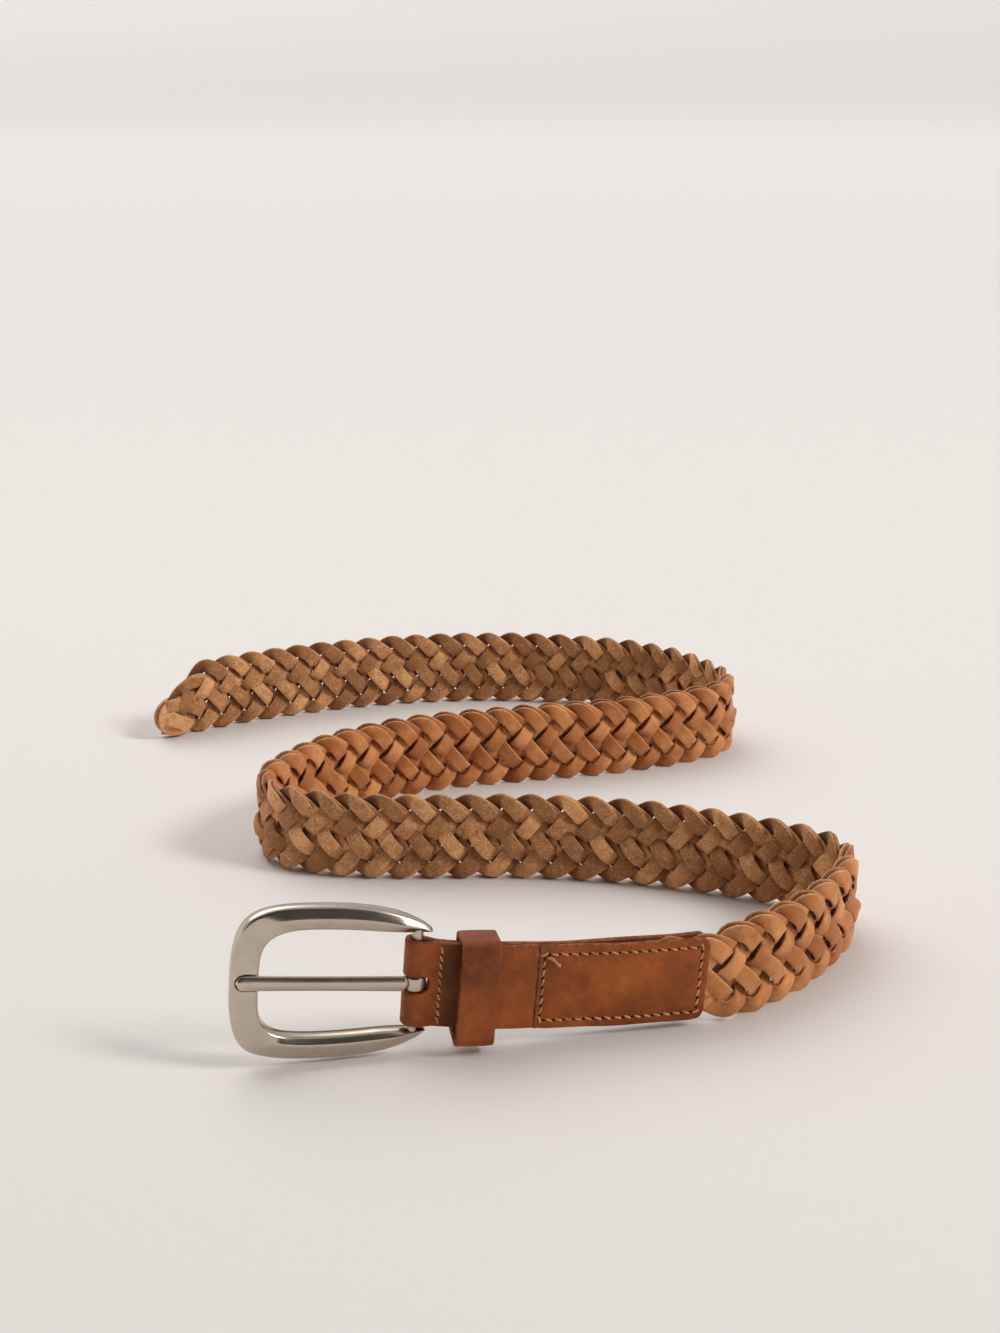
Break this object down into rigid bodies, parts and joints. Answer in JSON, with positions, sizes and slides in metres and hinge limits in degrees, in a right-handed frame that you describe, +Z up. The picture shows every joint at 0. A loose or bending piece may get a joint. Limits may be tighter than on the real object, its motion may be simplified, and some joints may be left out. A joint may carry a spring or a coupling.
{
  "type": "braided leather belt",
  "caption": "Braided leather belt standing on its edge in a loose S, with a heel-bar buckle, prong, leather tab and sliding keeper.",
  "frame": {"origin": "middle of the belt's footprint, on the surface it stands on", "axes": "+Z up, +Y away from the buckle side, +X from the buckle towards the tab's braid end"},
  "size_m": [0.2497, 0.3255, 0.0474],
  "materials": {
    "lace_leather": "matte, smooth grain outside, suede inside",
    "tab_leather": "satin saddle brown",
    "thread": "waxed thread",
    "nickel": "brushed nickel, warm"
  },
  "bodies": {
    "strap": {"tab_strap": "tab_leather", "front_patch": "tab_leather", "bar_seam_thread": "thread", "patch_seam_thread": "thread", "thread_tail": "thread", "lace_01": "lace_leather", "lace_02": "lace_leather", "lace_03": "lace_leather", "lace_04": "lace_leather", "lace_05": "lace_leather", "lace_06": "lace_leather", "lace_07": "lace_leather", "lace_08": "lace_leather", "lace_09": "lace_leather", "lace_10": "lace_leather", "tip_wrap": "lace_leather"},
    "keeper": {"keeper_band": "tab_leather", "keeper_staple": "nickel"},
    "buckle": {"buckle_frame": "nickel", "buckle_bar": "nickel"},
    "prong": {"prong": "nickel"}
  },
  "joints": [
    {"name": "buckle_swing", "type": "hinge", "parent": "strap", "child": "buckle", "pos_m": [-0.0107, -0.1492, 0.0207], "axis": [0.0767, 0.0163, 0.9969], "range_deg": [-60, 20]},
    {"name": "prong_swing", "type": "hinge", "parent": "buckle", "child": "prong", "pos_m": [-0.0107, -0.1492, 0.0207], "axis": [0.0767, 0.0163, 0.9969], "range_deg": [0, 70]},
    {"name": "keeper_slide", "type": "slide", "parent": "strap", "child": "keeper", "axis": [0.9751, 0.2073, -0.0785], "range_m": [-0.0065, 0.016]}
  ]
}
